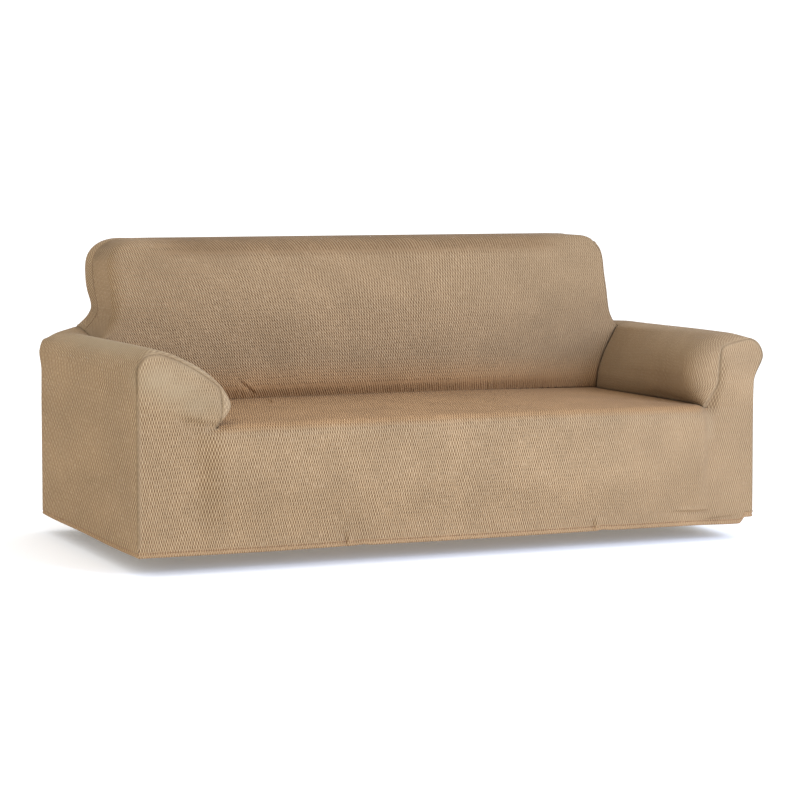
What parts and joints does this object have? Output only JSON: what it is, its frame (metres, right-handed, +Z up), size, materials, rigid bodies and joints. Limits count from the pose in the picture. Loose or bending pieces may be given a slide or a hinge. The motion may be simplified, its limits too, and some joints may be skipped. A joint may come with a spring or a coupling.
{
  "type": "sofa slipcover",
  "caption": "Fitted stretch-knit slipcover in the shape of a sofa, hollow and open underneath, with soft padded arms, a reclined back and a turned-up hem.",
  "frame": {"origin": "under the middle of the top of the back, at the point where the cover is held up", "axes": "+X across to the cover's right as seen from the front, +Y to the rear, +Z up; the floor that the held shape stands over is at z = -0.8885 m"},
  "size_m": [1.9595, 1.014, 0.8425],
  "materials": {
    "stretch_knit": "matt tan stretch knit with a small raised grain"
  },
  "bodies": {
    "root": {"seat_front": "stretch_knit", "arm_left": "stretch_knit", "arm_right": "stretch_knit", "back_inner": "stretch_knit", "back_outer": "stretch_knit"}
  },
  "joints": []
}
